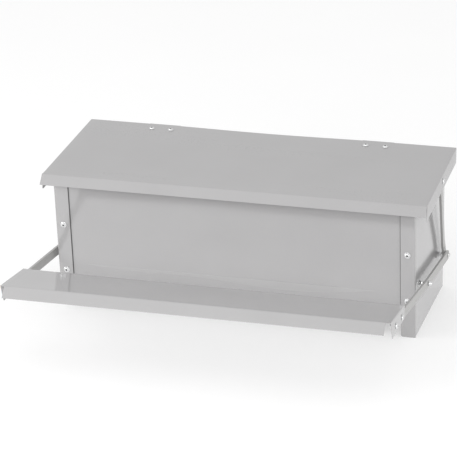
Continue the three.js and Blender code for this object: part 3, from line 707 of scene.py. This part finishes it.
def nut_rings(bottom, bore, height=NUT_HEIGHT, collar=0.0):
    """A chamfered hexagon nut as a closed ring, with an optional round locking collar on top."""
    top = bottom + height - collar
    corner_radius = NUT_FLAT / math.cos(math.pi / 6)
    chamfer = 0.45 * MM
    body = clipped_hexagon(NUT_FLAT, corner_radius)
    face = clipped_hexagon(NUT_FLAT, NUT_FLAT * 0.97)
    rings = [
        (bore, bottom),
        (face, bottom),
        (body, bottom + chamfer),
        (body, top - chamfer),
        (face, top),
    ]
    if collar:
        round_radius = NUT_FLAT * 0.9
        rings += [
            (round_radius, top),
            (round_radius, top + collar * 0.6),
            (round_radius * 0.85, top + collar),
        ]
    return rings + [(bore, top + collar)]


def turned_piece(name, ring_sets, base, direction, paint="zinc", recess=0.0):
    """One piece from closed turned meshes, set on a base point and turned to a direction.

    Faces near the axis above the recess height are the socket's and get a painted shade: darker zinc for
    the shadow inside the socket.
    """
    bm = bmesh.new()
    for rings, caps in ring_sets:
        part = polar_mesh(name + "_part", rings, caps)
        bm.from_mesh(part)
        bpy.data.meshes.remove(part)
    mesh = bpy.data.meshes.new(name)
    bm.to_mesh(mesh)
    bm.free()
    mesh.shade_smooth()
    mesh.set_sharp_from_angle(angle=SMOOTH_ANGLE)
    obj = add_object(name, mesh, paint)
    # painted shade: the socket faces take the darker zinc
    if recess:
        mesh.materials.append(PAINT["recess"])
        for face in mesh.polygons:
            reach = max(mesh.vertices[i].co.xy.length for i in face.vertices)
            face.material_index = int(face.center.z > recess and reach < SOCKET_FLAT * 1.2)
    turn = direction.to_track_quat("Z", "Y").to_matrix().to_4x4()
    mesh.transform(Matrix.Translation(base) @ turn)
    return obj


def along_axis(node, direction):
    """Where a turned CAD node starts and ends along its axis, as two points on the axis."""
    points = cad_points(node)
    direction = direction.normalized()
    heights = [p.dot(direction) for p in points]
    across = [p - direction * h for p, h in zip(points, heights)]
    # every piece is symmetrical, so its axis is the middle of its extremes
    low = Vector([min(p[i] for p in across) for i in range(3)])
    high = Vector([max(p[i] for p in across) for i in range(3)])
    axis = (low + high) / 2
    axis -= direction * axis.dot(direction)
    return axis + direction * min(heights), axis + direction * max(heights)


def build_bolt(node, direction, nut_gap=None):
    """A button-head bolt in place of a CAD bolt, with its nut where the CAD has them as one."""
    end, crown = along_axis(node, direction)
    direction = direction.normalized()
    seat = crown - direction * CAD_HEAD_HEIGHT
    length = (seat - end).length
    sets = [(thread_rings(-length, 0.3 * MM), (True, True)), (button_head_rings(), (True, True))]
    if nut_gap is not None:
        nut_bottom = -length + nut_gap
        sets.append((nut_rings(nut_bottom, THREAD_RADIUS - 0.1 * MM), (False, False)))
    obj = turned_piece(f"{node}_m6", sets, seat, direction, recess=0.5 * MM)
    return stand_for(obj, node)


def build_nut(node, direction, stub=False, collar=0.0):
    """A hexagon nut; with a stub, the end of the bolt it is tightened on stands above it."""
    start, end = along_axis(node, direction)
    bore = THREAD_RADIUS + (-0.1 if stub else 0.05) * MM
    height = NUT_HEIGHT if stub else (end - start).length
    sets = [(nut_rings(0, bore, height, collar), (False, False))]
    if stub:
        sets.append((thread_rings(0.4 * MM, (end - start).length), (True, True)))
    obj = turned_piece(f"{node}_m6", sets, start, direction)
    return stand_for(obj, node)


def ring_rings(outer, inner, height):
    """A tube from height 0 up, its outer edges chamfered."""
    ease = min(0.4 * MM, height / 4)
    return [(inner, 0), (outer - ease, 0), (outer, ease), (outer, height - ease), (outer - ease, height),
            (inner, height)]


def build_sleeve(node, direction):
    """A spacer or washer: a short tube with chamfered ends."""
    start, end = along_axis(node, direction)
    rings = ring_rings(WASHER_RADIUS, WASHER_BORE, (end - start).length)
    obj = turned_piece(f"{node}_ring", [(rings, (False, False))], start, direction)
    return stand_for(obj, node)


# ------------------------------------------------------------------ hinges


def hinge_axis(node):
    """The middle of the barrel, from the node's box: the barrel reaches farthest back and up."""
    low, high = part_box(node)
    reach = Vector((0, HINGE_BARREL_RADIUS, HINGE_BARREL_RADIUS))
    return Vector(((low.x + high.x) / 2, high.y, high.z)) - reach


def build_hinge_leaf(node, foot, head, outline, radii, knuckles):
    """A flat leaf drawn as (across, along) from foot to head, with its knuckles on the barrel."""
    axis = hinge_axis(node)
    along = point(0, head) - point(0, foot)
    along.normalize()
    inward = along.cross(Vector((1, 0, 0)))
    if inward.dot(Vector((0, -1, -1))) < 0:
        inward.negate()
    flat = rounded([Vector(p) for p in outline], radii)
    face = [point(axis.x + p.x, foot) + along * p.y for p in flat]
    bm = bmesh.new()
    top = [bm.verts.new(p) for p in face]
    bottom = [bm.verts.new(p + inward * HINGE_LEAF) for p in face]
    bm.faces.new(top)
    bm.faces.new(bottom[::-1])
    for i in range(len(top)):
        k = (i + 1) % len(top)
        bm.faces.new([top[k], top[i], bottom[i], bottom[k]])
    bmesh.ops.recalc_face_normals(bm, faces=bm.faces)
    for start, end in knuckles:
        rings = ring_rings(HINGE_BARREL_RADIUS, HINGE_PIN_RADIUS + HINGE_GAP, end - start)
        part = polar_mesh("knuckle", rings, (False, False))
        place = Matrix.Translation(axis + Vector((start, 0, 0)))
        part.transform(place @ Matrix.Rotation(math.pi / 2, 4, "Y"))
        bm.from_mesh(part)
        bpy.data.meshes.remove(part)
    mesh = bpy.data.meshes.new(f"{node}_leaf")
    bm.to_mesh(mesh)
    bm.free()
    obj = add_object(f"{node}_leaf", mesh, "hinge")
    soften(obj, CUT_EDGE_RADIUS, HINGE_EDGE_ANGLE)
    return stand_for(obj, node)


def build_hinge(hand):
    """A butt hinge: the lid leaf has the outer knuckles, the box leaf the middle one, on a pin."""
    half, knuckle = HINGE_HALF, HINGE_KNUCKLE_HALF
    node = f"hinge_lid_leaf_{hand}"
    axis = hinge_axis(node)
    foot = corner(node, -1, 0.3)
    head = Vector((axis.y, axis.z + HINGE_BARREL_RADIUS))
    length = (head - foot).length
    notch = length - HINGE_BARREL_RADIUS - 2 * HINGE_GAP
    outline = [(-half, 0), (half, 0), (half, length), (knuckle, length),
               (knuckle, notch), (-knuckle, notch), (-knuckle, length), (-half, length)]
    radii = [HINGE_CORNER, HINGE_CORNER, 0, 0, MM, MM, 0, 0]
    build_hinge_leaf(node, foot, head, outline, radii, [(-half, -knuckle), (knuckle, half)])

    node = f"hinge_box_leaf_{hand}"
    inner = knuckle - HINGE_GAP
    foot = corner(node, 1, -4)
    shoulder = axis.z - HINGE_BARREL_RADIUS - MM - foot.y
    top = axis.z - foot.y
    head = foot + Vector((BOX_LEAF_LEAN, 1)) * top
    outline = [(-half, 0), (half, 0), (half, shoulder), (inner, shoulder),
               (inner, top), (-inner, top), (-inner, shoulder), (-half, shoulder)]
    radii = [HINGE_CORNER, HINGE_CORNER, MM, 0, 0, 0, 0, MM]
    build_hinge_leaf(node, foot, head, outline, radii, [(-inner, inner)])

    node = f"hinge_pin_{hand}"
    start, end = along_axis(node, Vector((1, 0, 0)))
    length = (end - start).length
    head_radius = HINGE_PIN_RADIUS + PIN_HEAD_OVERHANG
    rings = [
        (HINGE_PIN_RADIUS - 0.4 * MM, 0),
        (HINGE_PIN_RADIUS, 0.4 * MM),
        (HINGE_PIN_RADIUS, length - 1.7 * MM),
        (head_radius, length - 1.7 * MM),
        (head_radius, length - 0.9 * MM),
        (head_radius * 0.7, length - 0.2 * MM),
        (head_radius * 0.3, length),
    ]
    obj = turned_piece(f"{node}_rivet", [(rings, (True, True))], start, end - start, "hinge")
    stand_for(obj, node)


# ------------------------------------------------------------------ assembly

build_lid()
build_step_plate()
build_panel("front_sheet", "front_panel", -1)
build_panel("rear_sheet", "rear_panel", 1)
build_floor_tray()

lid_slope = corner("lid", 0.4, 1) - corner("lid", -0.35, 1)
LID_NORMAL = Vector((0, -lid_slope.y, lid_slope.x))
front_run = corner("end_plate_left", -1, 1) - corner("end_plate_left", -1, -6)
FRONT_NORMAL = Vector((0, -front_run.y, front_run.x))
rear_run = corner("end_plate_left", 0.3, 1) - corner("end_plate_left", 1, -1)
REAR_NORMAL = Vector((0, rear_run.y, -rear_run.x))

for hand, side in HANDS:
    outward = Vector((side, 0, 0))
    build_end_plate(hand, side)
    for name in ("arm", "link"):
        build_bar(f"{name}_{hand}")
    build_bolt(f"pivot_bolt_{hand}", -outward)
    for name in ("link_bolt", "lid_link_bolt"):
        build_bolt(f"{name}_{hand}", outward)
    for name in ("pivot_plate_nut", "link_nut"):
        build_nut(f"{name}_{hand}", outward)
    build_nut(f"pivot_lock_nut_{hand}", outward, collar=LOCK_COLLAR)
    build_nut(f"link_top_nut_{hand}", outward, stub=True)
    for name in ("pivot_washer", "link_washer", "lid_link_spacer"):
        build_sleeve(f"{name}_{hand}", outward)
    for i in (1, 2):
        build_bolt(f"step_bolt_{hand}_{i}", outward, NUT_OVERHANG)
        build_bolt(f"front_bolt_{hand}_{i}", FRONT_NORMAL, NUT_OVERHANG)
        build_bolt(f"rear_bolt_{hand}_{i}", REAR_NORMAL, NUT_OVERHANG)
        build_bolt(f"hinge_lid_bolt_{hand}_{i}", LID_NORMAL, NUT_OVERHANG)
        build_bolt(f"hinge_box_bolt_{hand}_{i}", REAR_NORMAL, NUT_OVERHANG)
    build_hinge(hand)


# ------------------------------------------------------------------ stage, light and camera


def build_floor():
    bpy.ops.mesh.primitive_plane_add(size=FLOOR_SIZE)
    floor = bpy.context.object
    floor.name = "studio_floor"
    n = Nodes("studio_floor")
    shade = n.mixed(n.noise(2.0, detail=2), *FLOOR_GREYS)
    n.link(shade, n.shader.inputs["Base Color"])
    n.shader.inputs["Emission Color"].default_value = (1, 1, 1, 1)
    n.set(Roughness=0.8, Emission_Strength=FLOOR_GLOW)
    floor.data.materials.append(n.material)


def build_light():
    world = bpy.data.worlds.new("studio")
    world.use_nodes = True
    background = world.node_tree.nodes["Background"]
    background.inputs["Color"].default_value = (1, 1, 1, 1)
    background.inputs["Strength"].default_value = WORLD_LIGHT
    bpy.context.scene.world = world
    for name, place, size, power in SOFTBOXES:
        light = bpy.data.lights.new(f"softbox_{name}", "AREA")
        light.shape = "RECTANGLE"
        light.size, light.size_y = size
        light.energy = power
        obj = bpy.data.objects.new(f"softbox_{name}", light)
        obj.location = place
        aim = SOFTBOX_AIM - Vector(place)
        obj.rotation_euler = aim.to_track_quat("-Z", "Y").to_euler()
        bpy.context.scene.collection.objects.link(obj)


def build_camera():
    data = bpy.data.cameras.new("camera")
    data.sensor_width = CAMERA_SENSOR
    data.lens = CAMERA_LENS
    data.clip_end = 100
    camera = bpy.data.objects.new("camera", data)
    bpy.context.scene.collection.objects.link(camera)
    front_foot = corner("end_plate_left", -1, -6).x
    target = Vector((CAMERA_TARGET_X, front_foot, CAMERA_TARGET_Z))
    flat = math.cos(CAMERA_ELEVATION)
    back = Vector((
        math.sin(CAMERA_AZIMUTH) * flat,
        -math.cos(CAMERA_AZIMUTH) * flat,
        math.sin(CAMERA_ELEVATION),
    ))
    turn = back.to_track_quat("Z", "Y") @ Matrix.Rotation(CAMERA_ROLL, 3, "Z").to_quaternion()
    camera.location = target + back * CAMERA_DISTANCE
    camera.rotation_mode = "QUATERNION"
    camera.rotation_quaternion = turn
    bpy.context.scene.camera = camera


build_floor()
build_light()
build_camera()
bpy.context.scene.view_settings.view_transform = "Standard"

bpy.context.view_layer.update()
